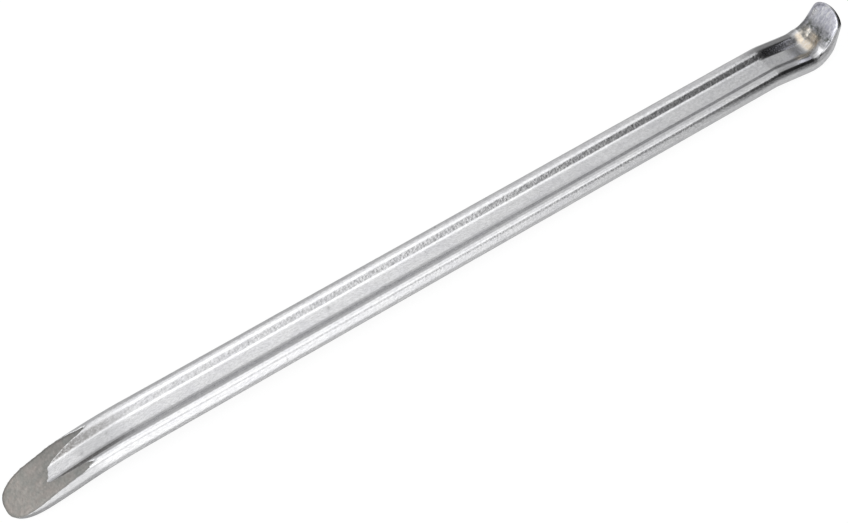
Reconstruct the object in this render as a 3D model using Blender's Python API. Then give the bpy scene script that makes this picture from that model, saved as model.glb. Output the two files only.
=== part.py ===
# A one-piece tyre lever, drop-forged with a double-T section and plated all over. The spoon
# end bends down and is ground to a broad blade. The hook end sets down a little, then turns
# up into a short blade. Metres, +X from spoon to hook, +Z up. The lever lies on the tip of
# its spoon and on the heel of its hook, with its bar clear of the floor.
import math

import bmesh
import bpy
from mathutils import Matrix, Vector

# Bar: the double-T section, the same from the spoon's bend to the hook's bend
BAR_WIDTH = 0.0300
BAR_HEIGHT = 0.0140
BAR_LENGTH = 0.4633
SIDE_DRAFT = math.radians(6.0)
CROWN_ROUND = 0.0030

# Recesses: one trough along the top and one along the underside
RECESS_DEPTH = 0.0027
RECESS_FLOOR_WIDTH = 0.0086
RECESS_MOUTH_WIDTH = 0.0180
FLOOR_ROUND = 0.0045
LIP_ROUND = 0.0050
RECESS_END_MARGIN = 0.0030
RECESS_END_LENGTH = 0.0110
UNDER_RECESS_MARGIN = 0.012
UNDER_RECESS_FADE = 0.024
FADED_MOUTH_SHARE = 0.45

# Spoon end: a long bend down, a slight flare back and a flat nose
SPOON_BEND_RADIUS = 0.251
SPOON_BEND_ANGLE = math.radians(10.6)
SPOON_FLARE_RADIUS = 0.386
SPOON_FLARE_ANGLE = math.radians(2.35)
SPOON_TIP_LENGTH = 0.0229
SPOON_NOSE_LENGTH = 0.0258
SPOON_NOSE_FULLNESS = 2.75
SPOON_UNDERCUT = 0.0017
SPOON_UNDERCUT_LENGTH = 0.0385

# Ground face on top of the spoon: it leaves the crowns gently and steepens towards the tip
GRIND_LENGTH = 0.0600
GRIND_TIP_THICKNESS = 0.0028
GRIND_CURVE = 1.6
CUTTER_RUN_OUT = 0.0075

# Hook end: the bar sets down, bends up and thins into a blade
SET_DOWN_RADIUS = 0.0250
SET_DOWN_ANGLE = math.radians(10.5)
HEEL_LENGTH = 0.0321
HOOK_BEND_RADIUS = 0.0100
HOOK_RISE_ANGLE = math.radians(70.9)
HOOK_FILLET_HEIGHT = 0.0016
HOOK_FILLET_RUN = 0.0050
BLADE_LENGTH = 0.0263
BLADE_WIDTH = 0.0245
BLADE_TIP_THICKNESS = 0.0028
BLADE_FACE_SINK = 0.0013
BLADE_FACE_SINK_LENGTH = 0.0365
BLADE_THINNING_LENGTH = 0.0358
HOOK_NOSE_LENGTH = 0.0084
HOOK_NOSE_FULLNESS = 2.0

# Fineness of the rounded forms
SPOON_FLARE_STEPS = 3
SPOON_BEND_STEPS = 8
RECESS_FADE_STEPS = 6
SET_DOWN_STEPS = 3
HEEL_STEPS = 4
HOOK_BEND_STEPS = 16
BLADE_STEPS = 5
NOSE_STEPS = 10
GRIND_STEPS = 14
CROWN_STEPS = 5
SMALL_ROUND_STEPS = 4
STANDING_PASSES = 3
SMOOTH_ANGLE = math.radians(28.0)
WELD_DISTANCE = 1e-6
SEAM_DISTANCE = 1e-5


def lever_path():
    """The centre line's stretches from the spoon's tip, as (length, turn), a rise being positive."""
    hook_turn = SET_DOWN_ANGLE + HOOK_RISE_ANGLE
    return {
        "tip": (SPOON_TIP_LENGTH, 0.0),
        "flare": (SPOON_FLARE_RADIUS * SPOON_FLARE_ANGLE, SPOON_FLARE_ANGLE),
        "spoon_bend": (SPOON_BEND_RADIUS * SPOON_BEND_ANGLE, -SPOON_BEND_ANGLE),
        "bar": (BAR_LENGTH, 0.0),
        "set_down": (SET_DOWN_RADIUS * SET_DOWN_ANGLE, -SET_DOWN_ANGLE),
        "heel": (HEEL_LENGTH, 0.0),
        "hook_bend": (HOOK_BEND_RADIUS * hook_turn, hook_turn),
        "blade": (BLADE_LENGTH, 0.0),
    }


def ends_of(path):
    """How far along the centre line each stretch ends."""
    ends = {}
    reached = 0.0
    for name, (length, _) in path.items():
        reached += length
        ends[name] = reached
    return ends


PATH = lever_path()
END = ends_of(PATH)
TOTAL = END["blade"]


def centre_line(place):
    """Position and heading at a place along the centre line, in the bar's own level."""
    x = 0.0
    z = 0.0
    heading = SPOON_BEND_ANGLE - SPOON_FLARE_ANGLE
    for length, turn in PATH.values():
        run = min(place, length)
        bend = turn * run / length
        chord = run if turn == 0.0 else 2.0 * length / turn * math.sin(bend / 2.0)
        x += chord * math.cos(heading + bend / 2.0)
        z += chord * math.sin(heading + bend / 2.0)
        heading += bend
        place -= run
        if place <= 0.0:
            break
    return x, z, heading


def offset_point(place, y, up):
    """A point at a place along the centre line, y across it and up square to it."""
    x, z, heading = centre_line(place)
    return Vector((x - up * math.sin(heading), y, z + up * math.cos(heading)))


def share_between(place, start, end):
    """0 at start, 1 at end, held beyond them."""
    return min(max((place - start) / (end - start), 0.0), 1.0)


def eased(share):
    return share * share * (3.0 - 2.0 * share)


def half_width(place):
    narrowing = share_between(place, END["heel"], TOTAL)
    return (BAR_WIDTH + (BLADE_WIDTH - BAR_WIDTH) * narrowing) / 2.0


def top_height(place):
    """The top surface over the centre line, before grinding, with the fillet inside the hook's bend."""
    sinking = share_between(place, TOTAL - BLADE_FACE_SINK_LENGTH, TOTAL)
    bent = share_between(place, END["heel"] - HOOK_FILLET_RUN, END["hook_bend"] + HOOK_FILLET_RUN)
    fillet = HOOK_FILLET_HEIGHT * math.sin(math.pi * bent) ** 2
    return BAR_HEIGHT / 2.0 - BLADE_FACE_SINK * sinking + fillet


def bottom_depth(place):
    """The underside below the centre line; negative where the thin blade lies all above it."""
    thinning = share_between(place, TOTAL - BLADE_THINNING_LENGTH, TOTAL)
    blade_tip = BLADE_TIP_THICKNESS - top_height(TOTAL)
    undercut = SPOON_UNDERCUT * (1.0 - share_between(place, 0.0, SPOON_UNDERCUT_LENGTH))
    return BAR_HEIGHT / 2.0 + (blade_tip - BAR_HEIGHT / 2.0) * thinning - undercut


def top_recess(place):
    """Share of the recess that is left on top: it runs out as the hook's bend begins."""
    start = END["heel"] - RECESS_END_MARGIN
    return 1.0 - eased(share_between(place, start, start + RECESS_END_LENGTH))


def under_recess(place):
    """Share of the recess that is left underneath: it fades before each bend."""
    first = END["spoon_bend"] + UNDER_RECESS_MARGIN
    last = END["bar"] - UNDER_RECESS_MARGIN
    growing = share_between(place, first, first + UNDER_RECESS_FADE)
    fading = share_between(place, last, last - UNDER_RECESS_FADE)
    return eased(min(growing, fading))


def rounded_corner(before, corner, after, radius, steps):
    """The corner's points on an arc of the given radius."""
    inward = (before - corner).normalized()
    outward = (after - corner).normalized()
    half_angle = inward.angle(outward) / 2.0
    centre = corner + (inward + outward).normalized() * (radius / math.sin(half_angle))
    first = corner + inward * (radius / math.tan(half_angle)) - centre
    last = corner + outward * (radius / math.tan(half_angle)) - centre
    swing = first.angle(last)
    points = []
    for step in range(steps + 1):
        part = swing * step / steps
        blend = (first * math.sin(swing - part) + last * math.sin(part)) / math.sin(swing)
        points.append(centre + blend)
    return points


def half_profile():
    """A quarter of the section as (across, up, dip): shares of half width, half height, recess."""
    top = BAR_HEIGHT / 2.0
    floor = top - RECESS_DEPTH
    side = BAR_WIDTH / 2.0
    middle = Vector((0.0, floor))
    foot = Vector((RECESS_FLOOR_WIDTH / 2.0, floor))
    lip = Vector((RECESS_MOUTH_WIDTH / 2.0, top))
    shoulder = Vector((side - top * math.tan(SIDE_DRAFT), top))
    parting = Vector((side, 0.0))
    trough = [middle]
    trough += rounded_corner(middle, foot, lip, FLOOR_ROUND, SMALL_ROUND_STEPS)
    trough += rounded_corner(foot, lip, shoulder, LIP_ROUND, SMALL_ROUND_STEPS)
    flank = rounded_corner(lip, shoulder, parting, CROWN_ROUND, CROWN_STEPS)
    flank.append(parting)
    points = [(point.x / side, 1.0, (top - point.y) / RECESS_DEPTH) for point in trough]
    points += [(point.x / side, point.y / top, 0.0) for point in flank]
    return points


def section_profile():
    """The section's half outline from the middle of the top round to the middle of the underside."""
    quarter = half_profile()
    upper = [(across, up, dip, top_recess) for across, up, dip in quarter]
    lower = [(across, -up, dip, under_recess) for across, up, dip in reversed(quarter[:-1])]
    return upper + lower


def surface_point(place, narrow, across, up, dip, recess):
    """A point of the forging's skin at a place, for one point of the section's outline."""
    left = recess(place)
    if dip > 0.0:
        across *= FADED_MOUTH_SHARE + (1.0 - FADED_MOUTH_SHARE) * math.sqrt(left)
    above = top_height(place)
    below = bottom_depth(place)
    height = (above - below) / 2.0 + up * (above + below) / 2.0
    height -= math.copysign(RECESS_DEPTH * dip * left, up)
    return offset_point(place, half_width(place) * across * narrow, height)


def nose_rings(centre, reach, fullness):
    """Rings that close a nose: the outline is a full ellipse, shrunk towards the centre."""
    rings = []
    for step in range(1, NOSE_STEPS + 1):
        angle = math.pi / 2.0 * step / NOSE_STEPS
        narrow = 0.0 if step == NOSE_STEPS else math.cos(angle) ** (2.0 / fullness)
        rings.append((centre, reach * math.sin(angle) ** (2.0 / fullness), narrow))
    return rings


def ring_places():
    """Every ring as (centre, reach, narrow), from the spoon's nose to the hook's nose."""
    under_start = END["spoon_bend"] + UNDER_RECESS_MARGIN
    under_end = END["bar"] - UNDER_RECESS_MARGIN
    recess_end = END["heel"] - RECESS_END_MARGIN
    marks = [
        (END["flare"], SPOON_FLARE_STEPS),
        (END["spoon_bend"], SPOON_BEND_STEPS),
        (under_start, 1),
        (under_start + UNDER_RECESS_FADE, RECESS_FADE_STEPS),
        (under_end - UNDER_RECESS_FADE, 1),
        (under_end, RECESS_FADE_STEPS),
        (END["bar"], 1),
        (END["set_down"], SET_DOWN_STEPS),
        (recess_end, HEEL_STEPS),
        (END["heel"], 1),
        (END["hook_bend"], HOOK_BEND_STEPS),
        (TOTAL - HOOK_NOSE_LENGTH, BLADE_STEPS),
    ]
    place = SPOON_NOSE_LENGTH
    rings = list(reversed(nose_rings(place, -SPOON_NOSE_LENGTH, SPOON_NOSE_FULLNESS)))
    rings.append((place, 0.0, 1.0))
    for mark, steps in marks:
        for step in range(1, steps + 1):
            rings.append((place + (mark - place) * step / steps, 0.0, 1.0))
        place = mark
    rings += nose_rings(place, HOOK_NOSE_LENGTH, HOOK_NOSE_FULLNESS)
    return rings


def forging():
    """The lever's forged body: half of it lofted through its rings, then mirrored."""
    profile = section_profile()
    shell = bmesh.new()
    rows = []
    for centre, reach, narrow in ring_places():
        row = []
        for across, up, dip, recess in profile:
            spot = surface_point(centre + reach * across, narrow, across, up, dip, recess)
            row.append(shell.verts.new(spot))
        rows.append(row)
    for row, following in zip(rows, rows[1:]):
        for index in range(len(profile) - 1):
            corners = (row[index], following[index], following[index + 1], row[index + 1])
            shell.faces.new(corners)
    bmesh.ops.remove_doubles(shell, verts=shell.verts, dist=WELD_DISTANCE)
    body = new_object("tyre_lever", shell)
    mirror = body.modifiers.new("Mirror", "MIRROR")
    mirror.use_axis = (False, True, False)
    mirror.merge_threshold = SEAM_DISTANCE
    return body


def ground_height(place):
    """The ground face over the centre line; past its end it lifts clear of the crowns."""
    crown = BAR_HEIGHT / 2.0
    tip_cut = crown + bottom_depth(0.0) - GRIND_TIP_THICKNESS
    left = 1.0 - place / GRIND_LENGTH
    if left < 0.0:
        return crown - tip_cut * left
    return crown - tip_cut * left ** GRIND_CURVE


def grinding_cutter():
    """A block whose lower face is the sweep of the ground face, run out past both its ends."""
    places = [-CUTTER_RUN_OUT]
    places += [GRIND_LENGTH * step / GRIND_STEPS for step in range(GRIND_STEPS + 1)]
    places.append(GRIND_LENGTH + CUTTER_RUN_OUT)
    lower = [offset_point(place, 0.0, ground_height(place)) for place in places]
    above = Vector((0.0, 0.0, 2.0 * BAR_HEIGHT))
    block = bmesh.new()
    low_row = [block.verts.new(point) for point in lower]
    high_row = [block.verts.new(point + above) for point in lower]
    for index in range(len(places) - 1):
        corners = (low_row[index], high_row[index], high_row[index + 1], low_row[index + 1])
        block.faces.new(corners)
    side_faces = list(block.faces)
    swept = bmesh.ops.extrude_face_region(block, geom=side_faces)
    moved = [item for item in swept["geom"] if isinstance(item, bmesh.types.BMVert)]
    bmesh.ops.translate(block, verts=moved, vec=(0.0, 2.0 * BAR_WIDTH, 0.0))
    bmesh.ops.translate(block, verts=block.verts, vec=(0.0, -BAR_WIDTH, 0.0))
    bmesh.ops.recalc_face_normals(block, faces=block.faces)
    cutter = new_object("grinding_cutter", block)
    cutter.hide_render = True
    cutter.display_type = "WIRE"
    return cutter


def new_object(name, shape):
    """A scene object from a bmesh, which is freed."""
    mesh = bpy.data.meshes.new(name)
    shape.to_mesh(mesh)
    shape.free()
    item = bpy.data.objects.new(name, mesh)
    bpy.context.collection.objects.link(item)
    return item


def metal(name, colour, roughness):
    material = bpy.data.materials.new(name)
    material.use_nodes = True
    shader = material.node_tree.nodes["Principled BSDF"]
    shader.inputs["Base Color"].default_value = (*colour, 1.0)
    shader.inputs["Metallic"].default_value = 1.0
    shader.inputs["Roughness"].default_value = roughness
    return material


def ground_spoon(body):
    """Cut the ground face into the forging and keep the result as the body's own mesh."""
    plating = metal("bright_zinc", (0.78, 0.79, 0.82), 0.25)
    ground = metal("ground_zinc", (0.52, 0.51, 0.49), 0.55)
    cutter = grinding_cutter()
    body.data.materials.append(plating)
    body.data.materials.append(ground)
    cutter.data.materials.append(ground)
    grind = body.modifiers.new("Grind", "BOOLEAN")
    grind.operation = "DIFFERENCE"
    grind.solver = "EXACT"
    grind.material_mode = "TRANSFER"
    grind.object = cutter
    shaped = bpy.data.meshes.new_from_object(body.evaluated_get(bpy.context.evaluated_depsgraph_get()))
    body.modifiers.clear()
    body.data = shaped
    shaped.name = "tyre_lever"
    bpy.data.objects.remove(cutter, do_unlink=True)


def lowest(points, left_half, middle):
    half = [point for point in points if (point.x < middle) == left_half]
    return min(half, key=lambda point: point.z)


def stand(body):
    """Lay the lever on its two lowest places, and set its origin under the middle of its box."""
    points = [vertex.co for vertex in body.data.vertices]
    middle = (min(point.x for point in points) + max(point.x for point in points)) / 2.0
    for _ in range(STANDING_PASSES):
        tip = lowest(points, True, middle)
        heel = lowest(points, False, middle)
        tilt = math.atan2(heel.z - tip.z, heel.x - tip.x)
        body.data.transform(Matrix.Rotation(tilt, 4, "Y"))
    left = min(point.x for point in points)
    right = max(point.x for point in points)
    floor = min(point.z for point in points)
    body.data.transform(Matrix.Translation((-(left + right) / 2.0, 0.0, -floor)))


def build():
    for item in list(bpy.data.objects):
        bpy.data.objects.remove(item, do_unlink=True)
    body = forging()
    ground_spoon(body)
    stand(body)
    body.data.shade_smooth()
    body.data.set_sharp_from_angle(angle=SMOOTH_ANGLE)
    points = [vertex.co for vertex in body.data.vertices]
    size = [max(point[axis] for point in points) - min(point[axis] for point in points)
            for axis in range(3)]
    print("lever %.1f x %.1f x %.1f mm" % tuple(1000.0 * length for length in size))


build()
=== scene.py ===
import math
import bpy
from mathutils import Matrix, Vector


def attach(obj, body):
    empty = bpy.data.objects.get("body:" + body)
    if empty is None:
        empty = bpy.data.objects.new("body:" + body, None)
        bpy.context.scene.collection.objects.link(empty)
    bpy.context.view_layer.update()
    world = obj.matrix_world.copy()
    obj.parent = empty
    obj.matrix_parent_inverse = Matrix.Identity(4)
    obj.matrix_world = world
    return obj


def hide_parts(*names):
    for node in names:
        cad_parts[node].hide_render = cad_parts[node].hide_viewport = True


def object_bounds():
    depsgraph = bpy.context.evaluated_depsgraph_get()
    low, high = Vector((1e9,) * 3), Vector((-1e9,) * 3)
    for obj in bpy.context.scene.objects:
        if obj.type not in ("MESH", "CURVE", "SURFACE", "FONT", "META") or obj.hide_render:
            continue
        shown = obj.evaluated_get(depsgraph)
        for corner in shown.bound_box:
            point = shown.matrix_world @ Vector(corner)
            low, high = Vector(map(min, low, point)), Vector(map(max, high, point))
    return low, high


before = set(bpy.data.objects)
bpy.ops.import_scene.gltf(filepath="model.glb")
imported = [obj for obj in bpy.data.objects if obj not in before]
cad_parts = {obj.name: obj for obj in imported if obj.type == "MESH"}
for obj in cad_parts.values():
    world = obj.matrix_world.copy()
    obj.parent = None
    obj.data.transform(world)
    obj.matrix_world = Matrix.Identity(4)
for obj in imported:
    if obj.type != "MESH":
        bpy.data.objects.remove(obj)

from types import SimpleNamespace

import bmesh
import bpy
from mathutils import Matrix, Vector, kdtree, noise

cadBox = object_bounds()
print("frame loaded, box", [tuple(round(value, 4) for value in corner) for corner in cadBox])


# Small helpers

def makeActive(piece):
    if bpy.context.object and bpy.context.object.mode != "OBJECT":
        bpy.ops.object.mode_set(mode="OBJECT")
    bpy.ops.object.select_all(action="DESELECT")
    piece.select_set(True)
    bpy.context.view_layer.objects.active = piece


def editMode(piece, elements):
    makeActive(piece)
    bpy.ops.object.mode_set(mode="EDIT")
    bpy.ops.mesh.select_mode(type=elements)
    bpy.ops.mesh.select_all(action="DESELECT")


def pickEdges(piece, wanted):
    # select the edges whose two ends pass the test
    mesh = bmesh.from_edit_mesh(piece.data)
    for edge in mesh.edges:
        edge.select_set(wanted(edge.verts[0].co, edge.verts[1].co))
    mesh.select_flush_mode()
    bmesh.update_edit_mesh(piece.data)


def pickVerts(piece, wanted):
    mesh = bmesh.from_edit_mesh(piece.data)
    for vert in mesh.verts:
        vert.select_set(wanted(vert.co))
    mesh.select_flush_mode()
    bmesh.update_edit_mesh(piece.data)


def pickFaces(piece, wanted):
    bpy.ops.mesh.select_all(action="DESELECT")
    mesh = bmesh.from_edit_mesh(piece.data)
    for face in [face for face in mesh.faces if wanted(face.normal)]:
        face.select_set(True)
    mesh.select_flush_mode()
    bmesh.update_edit_mesh(piece.data)


def cutAcross(piece, place, normal):
    bpy.ops.mesh.select_all(action="SELECT")
    bpy.ops.mesh.bisect(plane_co=place, plane_no=normal)


def faceOutward():
    bpy.ops.mesh.select_all(action="SELECT")
    bpy.ops.mesh.normals_make_consistent(inside=False)
    bpy.ops.object.mode_set(mode="OBJECT")


def applyModifier(piece, name):
    makeActive(piece)
    bpy.ops.object.modifier_apply(modifier=name)


def shareBetween(place, start, end):
    return min(max((place - start) / (end - start), 0.0), 1.0)


def eased(share):
    return share * share * (3.0 - 2.0 * share)


def fade(value, limits):
    # 0 at the first limit, 1 at the second, with a soft start and end
    return eased(shareBetween(value, *limits))


# The lever's sizes in metres and angles in radians. A pair is where a share begins and where it
# is full.
lever = {
    "width": 0.0300,
    "height": 0.0140,
    "draft": math.radians(6.0),
    "crownRound": 0.0022,
    "farCrownRound": 0.0039,
    "farCrownFrom": 0.0105,
    "farSideExtra": -0.0002,
    "nearCrownExtra": 0.00035,
    "nearCrownExtraAcross": (0.0106, 0.0125),
    "nearCrownDrop": 0.00013,
    "nearCrownDropAcross": (0.0104, 0.0123),
    "recessDepth": 0.0029,
    "recessFloor": 0.0094,
    "recessMouth": 0.0184,
    "recessMargin": 0.0015,
    "recessShift": -0.0008,
    "recessShiftAcross": (0.0118, 0.0106),
    "recessEndMargin": 0.0010,
    "recessEndLength": 0.0160,
    "floorRound": 0.0036,
    "lipRound": 0.0044,
    "fadedMouth": 0.45,
    "underMargin": 0.012,
    "underFade": 0.024,
    "spoonNose": 0.0258,
    "spoonNoseFullness": 2.75,
    "spoonUndercut": 0.0017,
    "spoonUndercutLength": 0.0385,
    "hookNose": 0.0084,
    "hookNoseFullness": 2.0,
    "bladeWidth": 0.0241,
    "bladeTip": 0.0028,
    "bladeSink": 0.0013,
    "bladeSinkLength": 0.0365,
    "bladeThinning": 0.0358,
    "bendRadius": 0.0120,
    "bendFillet": 0.0130,
    "bendInside": 0.45,
    "smoothAngle": math.radians(28),
}


def arc(radius, degrees):
    turn = math.radians(degrees)
    return radius * abs(turn), turn


# The centre line, as (length, turn): straight where the turn is 0, a rise where it is positive
stretches = {
    "spoonTip": (0.0229, 0.0),
    "spoonFlare": arc(0.386, 2.35),
    "spoonBend": arc(0.251, -10.6),
    "bar": (0.4633, 0.0),
    "setDown": arc(0.0250, -10.5),
    "heel": (0.0304, 0.0),
    "hookBend": arc(lever["bendRadius"], 81.4),
    "blade": (0.0241, 0.0),
}
# the bar itself lies level
startHeading = -stretches["spoonFlare"][1] - stretches["spoonBend"][1]

# how many straight steps each stretch of the curve is drawn with
curveSteps = 48

# Where each stretch ends, measured along the centre line from the spoon's tip
ends = {}
total = 0.0
for name, (length, turn) in stretches.items():
    total += length
    ends[name] = total

# How finely the blank is cut: rings along each stretch, and the widest strip across it
ringCounts = {
    "spoonNose": 36,
    "spoonFlare": 10,
    "spoonBend": 30,
    "bar": 300,
    "setDown": 6,
    "heel": 30,
    "hookBend": 40,
    "blade": 24,
    "hookNose": 24,
}
barParts = 4  # one subdivide makes at most 100 cuts
widestStrip = 0.0014
roundSteps = {"recess": 6, "crown": 12}

# Tolerances: the same place, at a corner, off the parting line, past an edge, to be welded, and
# for a share of 1
near = {"same": 1e-6, "corner": 2e-5, "seam": 1e-5, "past": 1e-4, "weld": 2e-6, "share": 1e-4}


# Model the blank: a straight double-T bar, cut and bevelled in edit mode

def crownEdge():
    # the crowns are narrower than the parting line, by the forging draft
    return lever["width"] / 2 - lever["height"] / 2 * math.tan(lever["draft"])


def longEdge(first, second):
    return abs(first.y - second.y) < near["same"] and abs(first.z - second.z) < near["same"]


def bevelLongEdges(piece, y, z, offset, segments):
    # round the long edges that lie at this distance from the middle, on all four sides
    def atCorner(first, second):
        nearY = abs(abs(first.y) - y) < near["corner"]
        nearZ = abs(abs(first.z) - z) < near["corner"]
        return longEdge(first, second) and nearY and nearZ
    pickEdges(piece, atCorner)
    bpy.ops.mesh.bevel(offset=offset, segments=segments, profile=0.5, affect="EDGES")


def makeBlank():
    halfWidth = lever["width"] / 2
    halfHeight = lever["height"] / 2
    floorY = lever["recessFloor"] / 2
    mouthY = lever["recessMouth"] / 2
    bpy.ops.mesh.primitive_cube_add(size=1, location=(total / 2, 0, 0),
                                    scale=(total, lever["width"], lever["height"]))
    blank = bpy.context.object
    blank.name = "forged_lever"
    bpy.ops.object.transform_apply(location=True, rotation=True, scale=True)
    editMode(blank, "EDGE")

    # the parting line, and the edges of the recess
    cutAcross(blank, (0, 0, 0), (0, 0, 1))
    for y in (-mouthY, -floorY, 0, floorY, mouthY):
        cutAcross(blank, (0, y, 0), (0, 1, 0))

    # the forging draft
    crownY = crownEdge()
    past = near["past"]
    for side in (-1, 1):
        pickVerts(blank, lambda place: abs(place.z) > past and place.y * side > mouthY + past)
        bpy.ops.transform.translate(value=(0, side * (crownY - halfWidth), 0))

    # the recess floors, pressed in from above and below
    for side in (-1, 1):
        pickVerts(blank, lambda place: place.z * side > past and abs(place.y) < floorY + past)
        bpy.ops.transform.translate(value=(0, 0, -side * lever["recessDepth"]))
    wallAngle = math.atan2(lever["recessDepth"], mouthY - floorY)
    shoulderAngle = math.radians(90) - lever["draft"]
    bevelLongEdges(blank, floorY, halfHeight - lever["recessDepth"],
                   lever["floorRound"] * math.tan(wallAngle / 2), roundSteps["recess"])
    bevelLongEdges(blank, mouthY, halfHeight,
                   lever["lipRound"] * math.tan(wallAngle / 2), roundSteps["recess"])
    bevelLongEdges(blank, crownY, halfHeight,
                   lever["crownRound"] * math.tan(shoulderAngle / 2), roundSteps["crown"])

    # both ends stay open until the noses are rounded over them
    pickFaces(blank, lambda normal: abs(normal.x) > 1 - near["share"])
    bpy.ops.mesh.delete(type="FACE")
    return blank


def splitWideStrips(piece):
    # subdivide the strips that are still wide, so that the skin can wave across them
    def wide(first, second):
        return abs(first.x - second.x) < near["same"] and (first - second).length > widestStrip
    while True:
        pickEdges(piece, wide)
        if not any(edge.select for edge in bmesh.from_edit_mesh(piece.data).edges):
            return
        bpy.ops.mesh.subdivide(number_cuts=1)


def ringStretches():
    hookNoseStart = total - lever["hookNose"]
    cuts = [(0.0, lever["spoonNose"], ringCounts["spoonNose"])]
    start = lever["spoonNose"]
    for name in ("spoonFlare", "spoonBend", "bar", "setDown", "heel", "hookBend"):
        parts = barParts if name == "bar" else 1
        for part in range(parts):
            end = start + (ends[name] - start) / (parts - part)
            cuts.append((start, end, ringCounts[name] // parts))
            start = end
    cuts.append((start, hookNoseStart, ringCounts["blade"]))
    cuts.append((hookNoseStart, total, ringCounts["hookNose"]))
    return cuts


def cutRings(piece):
    cuts = ringStretches()
    for start, end, count in cuts[1:]:
        cutAcross(piece, (start, 0, 0), (1, 0, 0))
    for start, end, count in cuts:
        def inside(first, second):
            middle = (first.x + second.x) / 2
            return longEdge(first, second) and start < middle < end
        pickEdges(piece, inside)
        bpy.ops.mesh.subdivide(number_cuts=count - 1)


# Shape the blank: taper, thin, fade the recesses and round both noses

def bendFill(place):
    # the round fillet inside the hook's bend, wider than the centre line's own bend
    tight = lever["bendRadius"] - lever["height"] / 2
    wide = lever["bendFillet"]
    half = (ends["hookBend"] - ends["heel"]) / lever["bendRadius"] / 2
    run = (wide - tight) * math.tan(half)
    away = max(ends["heel"] - place, place - ends["hookBend"])
    if away >= run:
        return 0.0
    if away >= 0:
        return wide - math.sqrt(wide ** 2 - (run - away) ** 2)
    angle = (place - ends["heel"]) / lever["bendRadius"] - half
    back = (wide - tight) / math.cos(half)
    return tight - math.sqrt(wide ** 2 - (back * math.sin(angle)) ** 2) + back * math.cos(angle)


def topHeight(place):
    sink = lever["bladeSink"] * shareBetween(place, total - lever["bladeSinkLength"], total)
    return lever["height"] / 2 - sink + bendFill(place)


def bottomDepth(place):
    halfHeight = lever["height"] / 2
    thinning = shareBetween(place, total - lever["bladeThinning"], total)
    tipDepth = lever["bladeTip"] - topHeight(total)
    undercut = lever["spoonUndercut"] * (1 - shareBetween(place, 0, lever["spoonUndercutLength"]))
    return halfHeight + (tipDepth - halfHeight) * thinning - undercut


def insideRun(place):
    # how far past the heel a place is, measured on the inside of the hook's bend
    around = min(place, ends["hookBend"]) - ends["heel"]
    if around < 0:
        return around
    return lever["bendInside"] * around + max(place - ends["hookBend"], 0.0)


def topRecess(place):
    run = insideRun(place) + lever["recessEndMargin"]
    return 1 - fade(run, (0.0, lever["recessEndLength"]))


def underRecess(place):
    first = ends["spoonBend"] + lever["underMargin"]
    last = ends["bar"] - lever["underMargin"]
    growing = shareBetween(place, first, first + lever["underFade"])
    fading = shareBetween(place, last, last - lever["underFade"])
    return eased(min(growing, fading))


def noseShape(depth, fullness):
    # depth into the nose from 0 to 1: how far it reaches and how narrow it is there
    angle = math.pi / 2 * depth
    narrow = 0.0 if 1 - depth < near["share"] else math.cos(angle) ** (2 / fullness)
    return math.sin(angle) ** (2 / fullness), narrow


def wornCrown(y, z):
    # the far crown on top is rounder than the others: how far out and up a point of it moves
    halfHeight = lever["height"] / 2
    draft = lever["draft"]
    reach = math.tan((math.radians(90) - draft) / 2)
    small, large = lever["crownRound"], lever["farCrownRound"]
    flatStart, flatEnd = lever["farCrownFrom"], crownEdge() - small * reach
    wornEnd = crownEdge() - large * reach
    if y < flatStart or z < near["seam"]:
        return 0.0, 0.0
    if y < flatEnd:
        return (wornEnd - flatEnd) * (y - flatStart) / (flatEnd - flatStart), 0.0
    low = halfHeight - small * (1 - math.sin(draft))
    wornLow = halfHeight - large * (1 - math.sin(draft))
    if z < low - near["seam"]:
        up = z * (wornLow / low - 1)
        return -up * math.tan(draft), up
    angle = math.atan2(y - flatEnd, z - (halfHeight - small))
    return (wornEnd - flatEnd + (large - small) * math.sin(angle),
            (large - small) * (math.cos(angle) - 1))


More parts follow.
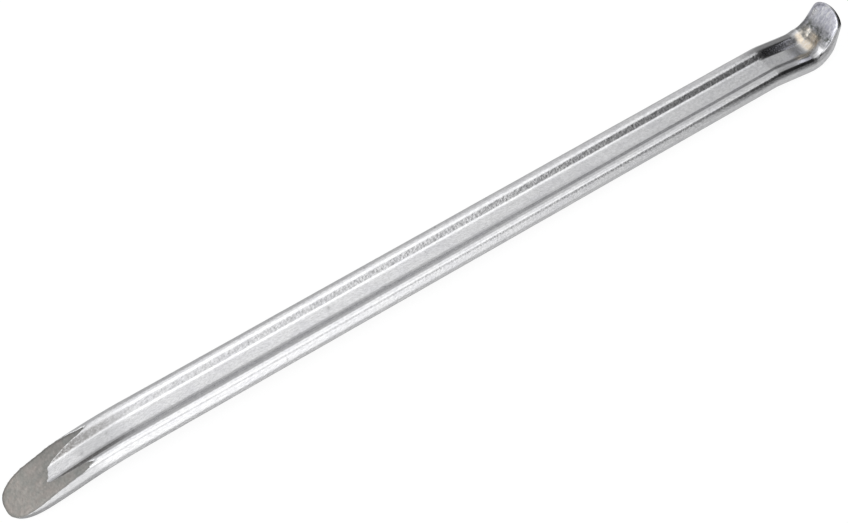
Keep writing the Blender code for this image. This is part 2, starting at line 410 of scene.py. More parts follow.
def shapeBlank(piece):
    halfHeight = lever["height"] / 2
    recessEdge = lever["recessMouth"] / 2 + lever["recessMargin"]
    hookNoseStart = total - lever["hookNose"]
    for vert in piece.data.vertices:
        place, y, z = vert.co
        across = abs(y) / (lever["width"] / 2)
        onTop = z > near["seam"]
        overRecess = abs(y) < recessEdge and abs(z) > near["seam"]
        dip = (halfHeight - abs(z)) / lever["recessDepth"] if overRecess else 0.0
        up = math.copysign(1, z) if overRecess else z / halfHeight

        narrow = 1.0
        if place < lever["spoonNose"]:
            depth = 1 - place / lever["spoonNose"]
            reach, narrow = noseShape(depth, lever["spoonNoseFullness"])
            place = lever["spoonNose"] * (1 - reach * across)
        elif place > hookNoseStart:
            depth = (place - hookNoseStart) / lever["hookNose"]
            reach, narrow = noseShape(depth, lever["hookNoseFullness"])
            place = hookNoseStart + lever["hookNose"] * reach * across

        left = topRecess(place) if z > 0 else underRecess(place)
        if dip > near["share"]:
            across *= lever["fadedMouth"] + (1 - lever["fadedMouth"]) * math.sqrt(left)
        above = topHeight(place)
        below = bottomDepth(place)
        height = (above - below) / 2 + up * (above + below) / 2
        height -= math.copysign(lever["recessDepth"] * dip * left, up)

        taper = shareBetween(place, ends["heel"], total)
        halfWidth = lever["width"] / 2
        halfWidth += (lever["bladeWidth"] / 2 - halfWidth) * taper
        if y > 0:
            halfWidth += lever["farSideExtra"]
        elif onTop and not overRecess:
            # the near crown stands out a little and slopes, with less draft below it
            extra = shareBetween(abs(y), *lever["nearCrownExtraAcross"])
            drop = shareBetween(abs(y), *lever["nearCrownDropAcross"])
            halfWidth += lever["nearCrownExtra"] * extra * z / halfHeight
            height -= lever["nearCrownDrop"] * drop * z / halfHeight * narrow
        # the upper die sat a little to one side, so the top recess is off the middle
        shift = 0.0
        if onTop:
            shift = lever["recessShift"] * left * shareBetween(abs(y), *lever["recessShiftAcross"])
        outward, lift = wornCrown(y, z)
        y = math.copysign(halfWidth * across * narrow, y) + (shift + outward) * narrow
        vert.co = (place, y, height + lift * narrow)


# The forged skin: low waves that are strongest on the recess walls and the sides
skin = {
    "waveSize": 0.0042,
    "waveStretch": 2.2,
    "wave": 0.000018,
    "wallWave": 0.000045,
    "longWaveSize": 0.0190,
    "longWaveStretch": 2.0,
    "longWave": 0.00006,
    "nearWallRough": 0.35,
    "sideRough": 0.6,
    # soft marks on the web, as (along, across, reach)
    "marks": ((0.0525, -0.0018, 0.0028), (0.0695, 0.0010, 0.0022), (0.2165, 0.0006, 0.0019)),
    "markShare": 0.8,
}

# Where the skin's zones lie. A pair is where a zone begins and where it is full. Lean is how far
# the surface faces sideways and Rise how far it faces up. Across is measured from the middle,
# Height from the parting line, Along from the spoon's tip, Beyond from the end of the bar, and
# Run from the heel's end on the inside of the hook's bend.
zones = {
    "topRise": (0.35, 0.70),
    "wallLean": (0.34, 0.50),
    "sideLean": (0.30, 0.75),
    "steepLean": (0.42, 0.53),
    "scaleLean": (0.15, 0.45),
    "scaleAlong": (0.092, 0.058),
    "pocketFarAcross": (0.0102, 0.0078),
    "pocketNearAcross": (-0.0078, -0.0048),
    "pocketStartRun": (-0.0034, 0.0004),
    "pocketEndRun": (0.0125, 0.0092),
    # painted shade over the far side of the pocket
    "pocketShadeAcross": (-0.0010, 0.0030),
    "pocketShadeStartRun": (0.0012, 0.0035),
    "pocketShadeEndRun": (0.0120, 0.0090),
    "footStartRun": (0.0080, 0.0120),
    "footEndRun": (0.0200, 0.0120),
    "bladeRise": (0.05, 0.50),
    "bladeRun": (0.0070, 0.0110),
    "spoonSideLean": (0.55, 0.85),
    "spoonSideAlong": (0.066, 0.050),
    "dullWebStartAlong": (0.045, 0.055),
    "dullWebEndAlong": (0.090, 0.068),
    # painted shade before the pocket: dark reflections painted on the web, the near side and the far
    # side of the heel
    "dullHeelStartRun": (-0.0170, -0.0090),
    "dullHeelEndRun": (0.0005, -0.0030),
    "dullNearStartRun": (-0.0150, -0.0080),
    "dullNearEndRun": (0.0010, -0.0020),
    "dullFarStartRun": (-0.0140, -0.0080),
    "dullFarEndRun": (0.0030, -0.0010),
    "lowBladeStartRun": (0.0060, 0.0090),
    "lowBladeEndRun": (0.0250, 0.0120),
    # painted shade: dark reflections painted on the far wall, the heel's crown and lip, and the near
    # upper edge of the heel
    "paintedShadeWallAlong": (0.29, 0.51),
    "paintedShadeWallEndRun": (0.0020, -0.0020),
    # its low edge moves out across the wall from the first place to the second, this much blurred
    "paintedShadeWallLowEdge": (0.0040, 0.0082),
    "paintedShadeWallLowEdgeRun": (-0.018, 0.0),
    "paintedShadeWallBlur": (-0.0010, 0.0006),
    "paintedShadeHeelBeyond": (-0.016, 0.0),
    "paintedShadeHeelEndRun": (0.0010, -0.0030),
    "paintedShadeCrownInAcross": (0.0080, 0.0092),
    "paintedShadeCrownOutAcross": (0.0128, 0.0116),
    "paintedShadeLipLean": (0.04, 0.20),
    "paintedShadeLipBeyond": (-0.008, 0.008),
    "paintedShadeEdgeLean": (0.30, 0.50),
    "paintedShadeEdgeHeight": (0.0012, 0.0034),
    "paintedShadeEdgeBeyond": (-0.075, 0.004),
    "paintedShadeEdgeEndRun": (0.0040, -0.0040),
    "fleckedAlong": (0.10, 0.42),
}

# How strong each zone gets
strengths = {
    # painted shade over the pocket's far side: how much it takes from the pocket, adds to the foot and
    # darkens
    "pocketShadeInPocket": 0.5,
    "pocketShadeInFoot": 0.6,
    "pocketShadeInDull": 0.85,
    "dullSides": 0.5,
    "dullWeb": 0.35,
    # painted shade before the pocket, on the near and the far side
    "dullNear": 0.9,
    "dullFar": 0.7,
    "dullBlade": 0.5,
    # painted shade: how dark the painted reflections get
    "paintedShadeWall": 0.72,
    "paintedShadeCrown": 0.6,
    "paintedShadeLip": 0.9,
    "paintedShadeEdge": 0.9,
    "leastFlecked": 0.3,
}


def readPoint(vert):
    # what the zones ask of a point of the skin
    place, y, z = vert.co
    facing = vert.normal.copy()
    inward = y * facing.y < 0
    return SimpleNamespace(place=place, y=y, z=z, facing=facing, lean=abs(facing.y), inward=inward,
                           farWall=inward and z > 0 and y > 0, onTop=fade(facing.z, zones["topRise"]),
                           run=insideRun(place), beyond=place - ends["bar"])


def inTrough(at):
    return at.z > 0 and abs(at.y) < lever["recessMouth"] / 2


def wallShare(at):
    return fade(at.lean, zones["wallLean"]) if at.inward and at.z > 0 else 0.0


def roughShare(at):
    if at.inward:
        return wallShare(at) * (1.0 if at.y > 0 else skin["nearWallRough"])
    return skin["sideRough"] * fade(at.lean, zones["sideLean"])


def scaleShare(at):
    # the skin is roughest and darkest beside the ground face
    wall = fade(at.lean, zones["scaleLean"]) if at.inward and at.y > 0 else 0.0
    return max(wallShare(at), wall) * fade(at.place, zones["scaleAlong"])


def pocketShadeShare(at):
    # painted shade, darkest on the far side of the pocket, where it dims the bend's bright reflection
    return (fade(at.y, zones["pocketShadeAcross"]) * fade(at.run, zones["pocketShadeStartRun"]) *
            fade(at.run, zones["pocketShadeEndRun"]))


def pocketShare(at):
    middle = fade(at.y, zones["pocketFarAcross"]) * fade(at.y, zones["pocketNearAcross"])
    length = fade(at.run, zones["pocketStartRun"]) * fade(at.run, zones["pocketEndRun"])
    return at.onTop * middle * length * (1 - strengths["pocketShadeInPocket"] * pocketShadeShare(at))


def footShare(at):
    start = max(strengths["pocketShadeInFoot"] * pocketShadeShare(at), fade(at.run, zones["footStartRun"]))
    return at.onTop * start * fade(at.run, zones["footEndRun"])


def bladeShare(at):
    return fade(at.facing.z, zones["bladeRise"]) * fade(at.run, zones["bladeRun"])


def markShare(at):
    return skin["markShare"] * max(
        fade(math.dist((at.place, at.y), (along, across)), (reach, 0.0))
        for along, across, reach in skin["marks"])


# painted shade along the heel before the pocket
def heelShadeShare(at, side):
    return fade(at.run, zones[side + "StartRun"]) * fade(at.run, zones[side + "EndRun"])


def dullAndShadeShare(at):
    # duller on the spoon's sides, behind the ground face and low on the blade, with painted shade before
    # the pocket and on its far side
    shares = [0.0]
    if not at.inward:
        spoonSide = fade(at.place, zones["spoonSideAlong"]) * fade(at.lean, zones["spoonSideLean"])
        shares.append(strengths["dullSides"] * spoonSide)
    if inTrough(at):
        web = fade(at.place, zones["dullWebEndAlong"]) * fade(at.place, zones["dullWebStartAlong"])
        # painted shade on the web before the pocket: the hook's dark foot reflected, painted into the
        # colour
        shares.append(strengths["dullWeb"] * web + heelShadeShare(at, "dullHeel"))
        shares.append(markShare(at))
    elif at.y < 0:
        # painted shade on the near side before the pocket, a dark reflection painted into the colour
        shares.append(strengths["dullNear"] * at.onTop * heelShadeShare(at, "dullNear"))
    else:
        # painted shade on the far side before the pocket, a dark reflection painted into the colour
        shares.append(strengths["dullFar"] * at.onTop * heelShadeShare(at, "dullFar"))
    lowBlade = fade(at.run, zones["lowBladeEndRun"]) * shareBetween(at.run, *zones["lowBladeStartRun"])
    shares.append(at.onTop * strengths["dullBlade"] * lowBlade)
    # painted shade over the pocket's far side
    shares.append(at.onTop * strengths["pocketShadeInDull"] * pocketShadeShare(at))
    return max(shares) * (1 - paintedShadeShare(at))


def steepShare(at):
    return fade(at.lean, zones["steepLean"]) if at.farWall else 0.0


def paintedShadeEdgeShare(at):
    # on the near side the painted shade, a dark reflection painted into the colour, lies along the upper
    # edge of the heel
    if at.inward or at.y > 0:
        return 0.0
    edge = shareBetween(at.lean, *zones["paintedShadeEdgeLean"]) * shareBetween(at.z, *zones["paintedShadeEdgeHeight"])
    length = fade(at.beyond, zones["paintedShadeEdgeBeyond"]) * fade(at.run, zones["paintedShadeEdgeEndRun"])
    return strengths["paintedShadeEdge"] * edge * length


def paintedShadeShare(at):
    # painted shade: dark reflections painted on the far wall towards the hook, ending in a point beside
    # the pocket
    onHeel = fade(at.beyond, zones["paintedShadeHeelBeyond"]) * shareBetween(at.run, *zones["paintedShadeHeelEndRun"])
    crown = (at.onTop * shareBetween(at.y, *zones["paintedShadeCrownInAcross"]) *
             fade(at.y, zones["paintedShadeCrownOutAcross"]))
    dark = max(strengths["paintedShadeCrown"] * crown * onHeel, paintedShadeEdgeShare(at))
    if at.farWall:
        start, full = zones["paintedShadeWallLowEdge"]
        lowEdge = start + (full - start) * shareBetween(at.run, *zones["paintedShadeWallLowEdgeRun"])
        alongWall = max(strengths["paintedShadeWall"] * fade(at.place, zones["paintedShadeWallAlong"]), onHeel)
        wall = steepShare(at) * alongWall * shareBetween(at.y - lowEdge, *zones["paintedShadeWallBlur"])
        lip = (strengths["paintedShadeLip"] * shareBetween(at.lean, *zones["paintedShadeLipLean"]) *
               fade(at.beyond, zones["paintedShadeLipBeyond"]))
        dark = max(dark, max(wall, lip) * fade(at.run, zones["paintedShadeWallEndRun"]))
    return dark


def fleckedShare(at):
    least = strengths["leastFlecked"]
    growing = least + (1 - least) * shareBetween(at.place, *zones["fleckedAlong"])
    return max(steepShare(at) * growing, paintedShadeEdgeShare(at))


# the point attributes that the materials read
skinLayers = {
    "walls": wallShare,
    "roughSkin": roughShare,
    "scale": scaleShare,
    "pocket": pocketShare,
    "foot": footShare,
    "blade": bladeShare,
    # real dulling, and painted shade at the heel and the pocket
    "dullAndShade": dullAndShadeShare,
    # painted shade: dark reflections painted into the colour
    "paintedShade": paintedShadeShare,
    "flecked": fleckedShare,
}


def layAttribute(piece, name, values):
    attribute = piece.data.attributes.new(name, "FLOAT", "POINT")
    attribute.data.foreach_set("value", values)


def skinWave(at):
    spot = Vector((at.place / skin["waveStretch"], at.y, at.z)) / skin["waveSize"]
    slow = Vector((at.place / skin["longWaveStretch"], at.y, at.z)) / skin["longWaveSize"]
    height = skin["wave"] + (skin["wallWave"] - skin["wave"]) * roughShare(at)
    return at.facing * (noise.noise(spot) * height + noise.noise(slow) * skin["longWave"])


def roughenSkin(piece):
    # every point is measured before the first one moves
    points = [readPoint(vert) for vert in piece.data.vertices]
    for vert, at in zip(piece.data.vertices, points):
        vert.co += skinWave(at)
    for name, share in skinLayers.items():
        layAttribute(piece, name, [share(at) for at in points])


# The centre line as a curve, with one Bezier arc for each bend

def makeCentreLine():
    curve = bpy.data.curves.new("centre_line", "CURVE")
    curve.dimensions = "3D"
    curve.twist_mode = "Z_UP"
    curve.resolution_u = curveSteps
    spline = curve.splines.new("BEZIER")
    spline.bezier_points.add(len(stretches))
    here = Vector((0, 0, 0))
    heading = startHeading
    points = spline.bezier_points
    for index, (length, turn) in enumerate(stretches.values()):
        forward = Vector((math.cos(heading), 0, math.sin(heading)))
        chord = length if turn == 0 else 2 * length / turn * math.sin(turn / 2)
        handle = length / 3 if turn == 0 else 4 / 3 * math.tan(abs(turn) / 4) * length / abs(turn)
        middle = heading + turn / 2
        there = here + chord * Vector((math.cos(middle), 0, math.sin(middle)))
        heading += turn
        onward = Vector((math.cos(heading), 0, math.sin(heading)))
        points[index].co = here
        points[index].handle_right = here + forward * handle
        points[index + 1].handle_left = there - onward * handle
        points[index + 1].co = there
        if index == 0:
            points[0].handle_left = here - forward * handle
        here = there
    points[-1].handle_right = here + onward * handle
    line = bpy.data.objects.new("centre_line", curve)
    bpy.context.collection.objects.link(line)
    return line


def bendAlong(piece, line):
    bend = piece.modifiers.new("Bend", "CURVE")
    bend.object = line
    bend.deform_axis = "POS_X"
    applyModifier(piece, "Bend")


# The spoon's ground face: a wavy sheet on the grinding line, made into a block that cuts
grind = {
    "length": 0.0600,
    "curve": 1.6,
    "tipThickness": 0.0028,
    "runOut": 0.0075,
    "blockWidth": 1.3 * lever["width"],
    "blockHeight": 2 * lever["height"],
    "spacing": 0.0008,
    "wave": 0.00018,
    "waveSize": 0.0026,
    "roll": 0.090,
    "rollAtStart": 0.004,
    "rollAlong": (0.050, 0.026),
    "rimReach": 0.0022,
    "rimDrop": 0.0004,
    "rimFromMiddle": 0.0103,
    "rimAroundTip": 0.026,
}


def groundRoll(place):
    # the face was held a little askew: it cuts deeper on the far side
    growing = fade(place, grind["rollAlong"])
    return grind["rollAtStart"] + (grind["roll"] - grind["rollAtStart"]) * growing


def groundHeight(place):
    crown = lever["height"] / 2
    tipCut = crown + bottomDepth(0) - grind["tipThickness"]
    left = 1 - place / grind["length"]
    if left < 0:
        return crown - tipCut * left
    return crown - tipCut * left ** grind["curve"]


def makeGrindingBlock(line):
    length = grind["length"] + 2 * grind["runOut"]
    width = grind["blockWidth"]
    bpy.ops.mesh.primitive_grid_add(x_subdivisions=round(length / grind["spacing"]),
                                    y_subdivisions=round(width / grind["spacing"]),
                                    size=1, location=(grind["length"] / 2, 0, 0))
    block = bpy.context.object
    block.name = "grinding_block"
    bpy.ops.transform.resize(value=(length, width, 1))
    bpy.ops.object.transform_apply(location=True, rotation=True, scale=True)
    for vert in block.data.vertices:
        place, y, z = vert.co
        wave = noise.noise(vert.co / grind["waveSize"]) * grind["wave"]
        vert.co.z = groundHeight(place) - groundRoll(place) * y + wave
    editMode(block, "FACE")
    bpy.ops.mesh.select_all(action="SELECT")
    bpy.ops.mesh.extrude_region_move(TRANSFORM_OT_translate={"value": (0, 0, grind["blockHeight"])})
    faceOutward()
    bendAlong(block, line)
    return block


def grindSpoon(piece, line, groundMaterial):
    block = makeGrindingBlock(line)
    block.data.materials.append(groundMaterial)
    cut = piece.modifiers.new("Grind", "BOOLEAN")
    cut.operation = "DIFFERENCE"
    cut.solver = "EXACT"
    cut.material_mode = "TRANSFER"
    cut.object = block
    applyModifier(piece, "Grind")
    bpy.data.objects.remove(block, do_unlink=True)


def softenGroundEdge(piece):
    # the wheel has broken the sharp outer edge: it falls off a little, and the ground material darkens
    # this rim with painted shade
    mesh = piece.data
    sides = [set(), set()]
    for face in mesh.polygons:
        sides[min(face.material_index, 1)].update(face.vertices)
    edge = [index for index in sides[0] & sides[1]
            if abs(mesh.vertices[index].co.y) > grind["rimFromMiddle"]
            or mesh.vertices[index].co.x < grind["rimAroundTip"]]
    tree = kdtree.KDTree(len(edge))
    for index in edge:
        tree.insert(mesh.vertices[index].co, index)
    tree.balance()
    rim = [0.0] * len(mesh.vertices)
    for index in sides[1]:
        distance = tree.find(mesh.vertices[index].co)[2]
        rim[index] = max(0.0, 1 - distance / grind["rimReach"])
    for index in sides[1]:
        mesh.vertices[index].co.z -= grind["rimDrop"] * rim[index] ** 2
    layAttribute(piece, "rim", rim)


# how often the lever is let down: each turn can bring another point lowest
settlings = 3


def standingPlace(piece):
    # the turn and move that lay the lever on its two lowest places, over the middle of its box
    points = [vert.co.copy() for vert in piece.data.vertices]
    middle = (min(point.x for point in points) + max(point.x for point in points)) / 2
    place = Matrix.Identity(4)
    for settling in range(settlings):
        tip = min((point for point in points if point.x < middle), key=lambda point: point.z)
        heel = min((point for point in points if point.x >= middle), key=lambda point: point.z)
        turn = Matrix.Rotation(math.atan2(heel.z - tip.z, heel.x - tip.x), 4, "Y")
        points = [turn @ point for point in points]
        place = turn @ place
    low = Vector([min(point[axis] for point in points) for axis in range(3)])
    high = Vector([max(point[axis] for point in points) for axis in range(3)])
    return Matrix.Translation((-(low.x + high.x) / 2, 0, -low.z)) @ place


# Material helpers

def newMaterial(name):
    material = bpy.data.materials.new(name)
    material.use_nodes = True
    nodes = material.node_tree.nodes
    return material, nodes, material.node_tree.links, nodes["Principled BSDF"]


def addNode(nodes, kind, settings=None, values=None):
    node = nodes.new(kind)
    for name, value in (settings or {}).items():
        setattr(node, name, value)
    for name, value in (values or {}).items():
        node.inputs[name].default_value = value
    return node


def feed(links, socket, value):
    # the value is a number, a colour or what another node gives
    if isinstance(value, (int, float)):
        socket.default_value = value
    elif isinstance(value, tuple):
        socket.default_value = (*value, 1)
    else:
        links.new(value, socket)


def mathNode(nodes, links, operation, *values):
    node = addNode(nodes, "ShaderNodeMath", {"operation": operation})
    for socket, value in zip(node.inputs, values):
        feed(links, socket, value)
    return node.outputs["Value"]


def mapRange(nodes, links, source, low, high, newLow, newHigh, kind="LINEAR"):
    mapped = addNode(nodes, "ShaderNodeMapRange", {"interpolation_type": kind}, {
        "From Min": low, "From Max": high, "To Min": newLow, "To Max": newHigh})
    links.new(source, mapped.inputs["Value"])
    return mapped.outputs["Result"]


def colourRamp(nodes, links, source, stops, kind="LINEAR"):
    ramp = addNode(nodes, "ShaderNodeValToRGB")
    ramp.color_ramp.interpolation = kind
    while len(ramp.color_ramp.elements) < len(stops):
        ramp.color_ramp.elements.new(0.5)
    for element, (place, colour) in zip(ramp.color_ramp.elements, stops):
        element.position = place
        element.color = (*colour, 1)
    links.new(source, ramp.inputs["Fac"])
    return ramp.outputs["Color"]


def mixColours(nodes, links, share, first, second, blend="MIX"):
    mix = addNode(nodes, "ShaderNodeMix", {"data_type": "RGBA", "blend_type": blend})
    # the colour sockets of a mix node are its seventh and eighth inputs, and its third output
    for index, value in ((0, share), (6, first), (7, second)):
        feed(links, mix.inputs[index], value)
    return mix.outputs[2]


def addBump(nodes, links, texture, distance, strength, below=None):
    bump = addNode(nodes, "ShaderNodeBump", values={"Distance": distance})
    feed(links, bump.inputs["Strength"], strength)
    links.new(texture, bump.inputs["Height"])
    if below:
        links.new(below, bump.inputs["Normal"])
    return bump.outputs["Normal"]


def zoneShare(nodes, name):
    return addNode(nodes, "ShaderNodeAttribute", {"attribute_name": name}).outputs["Fac"]


def placeParts(nodes, links):
    coords = addNode(nodes, "ShaderNodeTexCoord")
    parts = addNode(nodes, "ShaderNodeSeparateXYZ")
    links.new(coords.outputs["Object"], parts.inputs["Vector"])
    return parts.outputs


# The patterns in the skin: stretch, scale, detail and roughness of each noise
patterns = {
    "mottle": ((0.6, 1, 1), 700, 5, 0.65),
    "flecks": ((1, 0.6, 0.6), 780, 2, 0.5),
    "clouds": ((0.5, 1, 1), 150, 3, 0.6),
    "spots": ((1, 1, 1), 230, 2, 0.5),
    "specks": ((0.8, 1, 1), 900, 3, 0.6),
    "streaks": ((0.25, 1, 0.25), 900, 3, 0.6),
    "patches": ((1, 1, 1), 330, 3, 0.6),
    "stain": ((1, 1, 1), 480, 4, 0.65),
    "grain": ((0.7, 1, 1), 1100, 3, 0.5),
    "pits": ((0.6, 1, 1), 800, 3, 0.6),
    "dressing": ((0.12, 1, 0.12), 1300, 2, 0.5),
    "scratches": ((1, 0.5, 1), 1000, 4, 0.65),
    "groundClouds": ((1, 1, 1), 190, 4, 0.65),
}

# The tones that a pattern runs between, each at its place on the noise
tones = {
    "mottle": [(0.34, (0.85, 0.85, 0.85)), (0.62, (1.03, 1.03, 1.03))],
    "flecks": [(0.36, (0.58, 0.58, 0.58)), (0.60, (1.18, 1.18, 1.17))],
    "clouds": [(0.35, (0.94, 0.94, 0.95)), (0.60, (1.0, 1.0, 0.995))],
    "spots": [(0.19, (0.62, 0.62, 0.63)), (0.28, (1.0, 1.0, 1.0))],
    "streaks": [(0.35, (0.60, 0.60, 0.69)), (0.65, (0.95, 0.95, 1.0))],
    "patches": [(0.38, (0.84, 0.85, 0.86)), (0.58, (1.10, 1.10, 1.10))],
    "scratches": [(0.30, (0.50, 0.48, 0.455)), (0.70, (0.68, 0.65, 0.62))],
    "groundClouds": [(0.35, (0.86, 0.89, 0.88)), (0.65, (1.06, 1.02, 1.0))],
}


def patternNoise(nodes, links, name):
    # a noise in the lever's own place, stretched along or across it
    stretch, scale, detail, roughness = patterns[name]
    coords = addNode(nodes, "ShaderNodeTexCoord")
    mapping = addNode(nodes, "ShaderNodeMapping", values={"Scale": stretch})
    texture = addNode(nodes, "ShaderNodeTexNoise",
                      values={"Scale": scale, "Detail": detail, "Roughness": roughness})
    links.new(coords.outputs["Object"], mapping.inputs["Vector"])
    links.new(mapping.outputs["Vector"], texture.inputs["Vector"])
    return texture.outputs["Fac"]


def patternTone(nodes, links, name):
    return colourRamp(nodes, links, patternNoise(nodes, links, name), tones[name])


def toneBy(nodes, links, name, colour, share=1.0):
    # multiply the colour by a pattern's tones
    return mixColours(nodes, links, share, colour, patternTone(nodes, links, name), "MULTIPLY")


# The bright zinc skin
zincLook = {
    "crown": (0.89, 0.89, 0.90),
    "wall": (0.69, 0.69, 0.70),
    # dull tone: real dulling on the spoon, and painted shade at the heel and the pocket's far side
    "dullAndShade": (0.42, 0.42, 0.425),
    # painted shade: the tone of the dark reflections painted on the far wall and the heel
    "paintedShade": (0.20, 0.20, 0.205),
    "scale": (0.24, 0.23, 0.22),
    "pocket": (0.73, 0.64, 0.52),
    "foot": (0.14, 0.15, 0.135),
    # how a noise breaks up a zone: two places on the noise, and the zone's share at each
    "scaleBreaks": (0.42, 0.64, 1.0, 0.45),
    "pocketBreaks": (0.38, 0.52, 0.55, 1.0),
    "footBreaks": (0.42, 0.58, 1.0, 0.2),
    "crownRough": 0.16,
    "wallRough": 0.20,
    "bladeRough": 0.34,
    "grainStrength": 0.6,
    "grainBump": 0.0001,
    "wallBump": 0.00026,
    "leastPits": 0.04,
    "footPits": 0.5,
    "dressingStrength": 0.5,
    "dressingBump": 0.0002,
}


def paintZone(nodes, links, name, colour, texture):
    # lay a zone's own colour over what is there, broken up by the noise
    broken = mapRange(nodes, links, texture, *zincLook[name + "Breaks"])
    share = mathNode(nodes, links, "MULTIPLY", zoneShare(nodes, name), broken)
    return mixColours(nodes, links, share, colour, zincLook[name])


def zincColour(nodes, links):
    colour = mixColours(nodes, links, zoneShare(nodes, "walls"), zincLook["crown"], zincLook["wall"])
    colour = toneBy(nodes, links, "mottle", colour)
    # painted shade: dark reflections laid into the colour on the far wall and the heel
    colour = mixColours(nodes, links, zoneShare(nodes, "paintedShade"), colour, zincLook["paintedShade"])
    colour = toneBy(nodes, links, "flecks", colour, zoneShare(nodes, "flecked"))
    colour = toneBy(nodes, links, "clouds", colour)
    colour = toneBy(nodes, links, "spots", colour)
    # dark scale on the wall beside the ground face, broken by lighter specks
    colour = paintZone(nodes, links, "scale", colour, patternNoise(nodes, links, "specks"))
    # the hook: streaks up the blade, a straw coloured pocket and a dark mottled foot
    streaks = toneBy(nodes, links, "patches", patternTone(nodes, links, "streaks"))
    colour = mixColours(nodes, links, zoneShare(nodes, "blade"), colour, streaks)
    # the dull tone: real dulling on the spoon and blade, and painted shade before and in the pocket
    colour = mixColours(nodes, links, zoneShare(nodes, "dullAndShade"), colour, zincLook["dullAndShade"])
    stain = patternNoise(nodes, links, "stain")
    colour = paintZone(nodes, links, "pocket", colour, stain)
    return paintZone(nodes, links, "foot", colour, stain)


def zincRoughness(nodes, links):
    crown = zincLook["crownRough"]
    skinRough = mapRange(nodes, links, zoneShare(nodes, "walls"), 0, 1, crown, zincLook["wallRough"])
    extra = mathNode(nodes, links, "MULTIPLY", zoneShare(nodes, "blade"), zincLook["bladeRough"] - crown)
    return mathNode(nodes, links, "ADD", skinRough, extra)


def zincSurface(nodes, links):
    # a fine grain everywhere, pits where the skin is rough, dressing lines up the blade
    grain = addBump(nodes, links, patternNoise(nodes, links, "grain"),
                    zincLook["grainBump"], zincLook["grainStrength"])
    uneven = mathNode(nodes, links, "MULTIPLY_ADD", zoneShare(nodes, "foot"), zincLook["footPits"],
                      zoneShare(nodes, "roughSkin"))
    pitted = mapRange(nodes, links, uneven, 0, 1, zincLook["leastPits"], 1.0)
    pits = addBump(nodes, links, patternNoise(nodes, links, "pits"), zincLook["wallBump"], pitted, grain)
    dressed = mathNode(nodes, links, "MULTIPLY", zoneShare(nodes, "blade"), zincLook["dressingStrength"])
    return addBump(nodes, links, patternNoise(nodes, links, "dressing"),
                   zincLook["dressingBump"], dressed, pits)


def zincSkin():
    material, nodes, links, shader = newMaterial("bright_zinc")
    shader.inputs["Metallic"].default_value = 1.0
    links.new(zincColour(nodes, links), shader.inputs["Base Color"])
    links.new(zincRoughness(nodes, links), shader.inputs["Roughness"])
    links.new(zincSurface(nodes, links), shader.inputs["Normal"])
    return material


# The matt face that the wheel left on the spoon
groundLook = {
    "cheekTone": (0.58, 0.60, 0.62),
    "cheekAlong": (0.013, 0.053),
    # painted shade: the dark tone of the ground face's rounded rim
    "rimShadeColour": (0.24, 0.24, 0.23),
    "rimShadeBreaks": (0.25, 0.8, 0.0, 0.5),
    "roughness": 0.55,
    "scratchStrength": 0.5,
    "scratchBump": 0.00012,
}


def groundSteel():
    material, nodes, links, shader = newMaterial("ground_zinc")
    shader.inputs["Metallic"].default_value = 1.0
    shader.inputs["Roughness"].default_value = groundLook["roughness"]
    scratches = patternNoise(nodes, links, "scratches")
    colour = colourRamp(nodes, links, scratches, tones["scratches"])
    colour = toneBy(nodes, links, "groundClouds", colour)
    # the two cheeks beside the trough are duller than the tip
    tip = cadBox[0][0]
    first, last = groundLook["cheekAlong"]
    share = mapRange(nodes, links, placeParts(nodes, links)["X"], tip + first, tip + last, 0.0, 1.0)
    colour = mixColours(nodes, links, share, colour, groundLook["cheekTone"], "MULTIPLY")
    # painted shade along the rounded rim of the ground face
    rim = mapRange(nodes, links, zoneShare(nodes, "rim"), *groundLook["rimShadeBreaks"])
    colour = mixColours(nodes, links, rim, colour, groundLook["rimShadeColour"])
    links.new(colour, shader.inputs["Base Color"])
    bump = addBump(nodes, links, scratches, groundLook["scratchBump"], groundLook["scratchStrength"])
    links.new(bump, shader.inputs["Normal"])
    return material


# Make the lever

blank = makeBlank()
splitWideStrips(blank)
cutRings(blank)
bpy.ops.object.mode_set(mode="OBJECT")
shapeBlank(blank)
editMode(blank, "VERT")
bpy.ops.mesh.select_all(action="SELECT")
bpy.ops.mesh.remove_doubles(threshold=near["weld"])
faceOutward()
print("blank shaped,", len(blank.data.vertices), "points")

roughenSkin(blank)
line = makeCentreLine()
bendAlong(blank, line)
print("skin roughened, blank bent")

ground = groundSteel()
blank.data.materials.clear()
blank.data.materials.append(zincSkin())
blank.data.materials.append(ground)
grindSpoon(blank, line, ground)
bpy.data.objects.remove(line, do_unlink=True)
softenGroundEdge(blank)
print("spoon ground,", len(blank.data.vertices), "points")

blank.data.transform(standingPlace(blank))
blank.data.update()
makeActive(blank)
bpy.ops.object.shade_smooth_by_angle(angle=lever["smoothAngle"])
print("lever laid down")


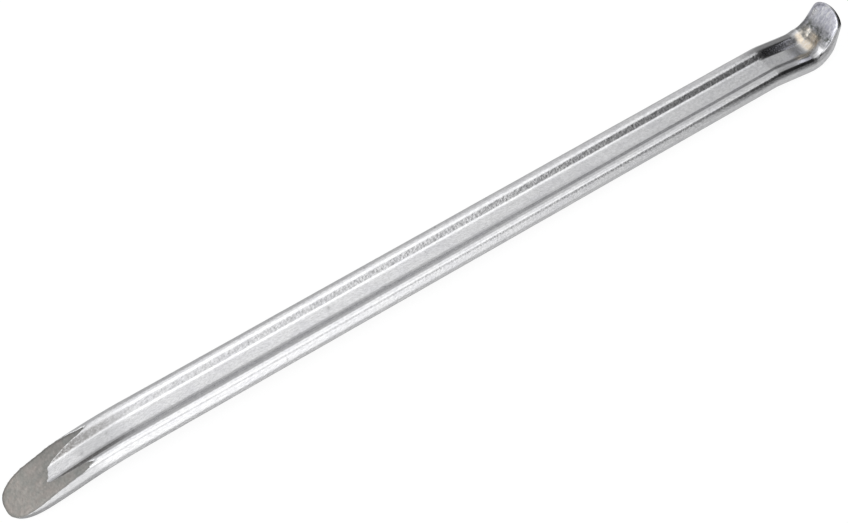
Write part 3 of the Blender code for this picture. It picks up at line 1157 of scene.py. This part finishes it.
# Studio: a white floor and a soft sky
studio = {
    # light by roll, the angle round the lever's long axis: 0.5 is straight up, and 0.75 is level
    # on the camera's side
    "spoonLight": [
        (0.0, 0.45), (0.07, 0.40), (0.13, 0.66), (0.20, 0.52), (0.25, 0.43), (0.31, 0.50),
        (0.36, 0.50), (0.39, 0.58), (0.42, 0.91), (0.45, 1.16), (0.50, 1.35), (0.56, 1.32),
        (0.60, 1.20), (0.64, 1.05), (0.67, 0.93), (0.70, 0.88), (0.74, 1.02), (0.78, 1.22),
        (0.90, 1.28), (0.93, 0.92), (0.955, 0.41), (1.0, 0.45)],
    "barLight": [
        (0.0, 0.50), (0.07, 0.45), (0.13, 0.60), (0.20, 0.51), (0.25, 0.51), (0.31, 0.67),
        (0.36, 0.65), (0.39, 0.62), (0.42, 0.57), (0.45, 0.76), (0.50, 1.02), (0.535, 0.98),
        (0.565, 0.80), (0.60, 0.29), (0.64, 0.09), (0.70, 0.08), (0.80, 0.08), (0.86, 0.12),
        (0.89, 0.30), (0.92, 0.59), (0.935, 0.58), (0.95, 0.48), (1.0, 0.45)],
    "hookLight": [
        (0.0, 0.45), (0.07, 0.40), (0.13, 0.55), (0.20, 0.50), (0.25, 0.34), (0.31, 0.40),
        (0.36, 0.46), (0.39, 0.47), (0.42, 0.41), (0.45, 0.32), (0.48, 0.18), (0.52, 0.08),
        (0.56, 0.07), (0.60, 0.07), (0.82, 0.07), (0.85, 0.11), (0.88, 0.34), (0.91, 0.42),
        (0.947, 0.62), (1.0, 0.5)],
    # where one gives way to the next, by how far the reflection points along the lever
    "barAlong": (0.16, 0.56),
    "hookAlong": (0.49, 0.575),
    # light by that direction, from 0 towards the spoon to 1 towards the hook
    "alongLight": [
        (0.0, 2.1), (0.03, 1.6), (0.06, 1.0), (0.10, 0.60), (0.14, 0.55), (0.225, 0.75),
        (0.325, 0.95), (0.40, 1.0), (0.88, 1.0), (0.91, 0.7), (0.94, 0.03), (1.0, 0.0)],
    "tint": (0.992, 0.994, 1.0),
    "floorSize": 12,
    "floorDrop": 0.0002,
    "floorColour": (0.92, 0.92, 0.92),
    "floorRough": 0.9,
    "floorWhite": 1.10,
    "floorGlow": 0.80,
}


def lightRamp(nodes, links, source, name):
    stops = [(place, (value, value, value)) for place, value in studio[name]]
    return colourRamp(nodes, links, source, stops, "EASE")


def makeSky():
    # a long softbox overhead, a grey wall behind and a dark corner beyond the hook
    world = bpy.data.worlds.new("soft_sky")
    bpy.context.scene.world = world
    world.use_nodes = True
    nodes, links = world.node_tree.nodes, world.node_tree.links
    coords = addNode(nodes, "ShaderNodeTexCoord")
    parts = addNode(nodes, "ShaderNodeSeparateXYZ")
    links.new(coords.outputs["Generated"], parts.inputs["Vector"])
    along, across, up = (parts.outputs[axis] for axis in "XYZ")
    nearer = mathNode(nodes, links, "MULTIPLY", across, -1.0)
    angle = mathNode(nodes, links, "ARCTAN2", nearer, up)
    roll = mathNode(nodes, links, "MULTIPLY_ADD", angle, 0.5 / math.pi, 0.5)
    light = lightRamp(nodes, links, roll, "spoonLight")
    for part in ("bar", "hook"):
        share = mapRange(nodes, links, along, *studio[part + "Along"], 0.0, 1.0, "SMOOTHSTEP")
        light = mixColours(nodes, links, share, light, lightRamp(nodes, links, roll, part + "Light"))
    alongShare = mathNode(nodes, links, "MULTIPLY_ADD", along, 0.5, 0.5)
    light = mathNode(nodes, links, "MULTIPLY", light, lightRamp(nodes, links, alongShare, "alongLight"))
    # what the camera sees directly is white
    rays = addNode(nodes, "ShaderNodeLightPath")
    strength = addNode(nodes, "ShaderNodeMix", {"data_type": "FLOAT"}, {"B": 1.0})
    links.new(rays.outputs["Is Camera Ray"], strength.inputs["Factor"])
    links.new(light, strength.inputs["A"])
    links.new(strength.outputs["Result"], nodes["Background"].inputs["Strength"])
    nodes["Background"].inputs["Color"].default_value = (*studio["tint"], 1)


def floorWhite():
    # it takes the lever's soft shadow, but is lifted to white for the camera
    material, nodes, links, shader = newMaterial("floor_white")
    shader.inputs["Base Color"].default_value = (*studio["floorColour"], 1)
    shader.inputs["Roughness"].default_value = studio["floorRough"]
    glow = addNode(nodes, "ShaderNodeEmission", values={"Strength": studio["floorWhite"]})
    rays = addNode(nodes, "ShaderNodeLightPath")
    share = mathNode(nodes, links, "MULTIPLY", rays.outputs["Is Camera Ray"], studio["floorGlow"])
    mix = addNode(nodes, "ShaderNodeMixShader")
    links.new(share, mix.inputs["Fac"])
    links.new(shader.outputs["BSDF"], mix.inputs[1])
    links.new(glow.outputs["Emission"], mix.inputs[2])
    links.new(mix.outputs["Shader"], nodes["Material Output"].inputs["Surface"])
    return material


def makeFloor():
    bpy.ops.mesh.primitive_plane_add(size=studio["floorSize"], location=(0, 0, -studio["floorDrop"]))
    floor = bpy.context.object
    floor.name = "floor"
    floor.visible_glossy = False
    floor.data.materials.append(floorWhite())


# The camera at the photograph's angle: roll is its turn in degrees round its own line of sight
view = {
    "location": (-0.28258, -0.44721, 0.79767),
    "target": (-0.01841, -0.00019, 0.0120),
    "roll": -3.304,
    "lens": 65.95,
}


def makeCamera():
    camera = bpy.data.objects.new("camera", bpy.data.cameras.new("camera"))
    bpy.context.collection.objects.link(camera)
    bpy.context.scene.camera = camera
    camera.data.lens = view["lens"]
    sight = Vector(view["target"]) - Vector(view["location"])
    aim = sight.to_track_quat("-Z", "Y").to_matrix().to_4x4()
    turned = aim @ Matrix.Rotation(math.radians(view["roll"]), 4, "Z")
    camera.matrix_world = Matrix.Translation(view["location"]) @ turned


makeSky()
makeFloor()
makeCamera()
bpy.context.scene.view_settings.view_transform = "Standard"
print("studio and camera ready")

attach(blank, "root")
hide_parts("tyre_lever")
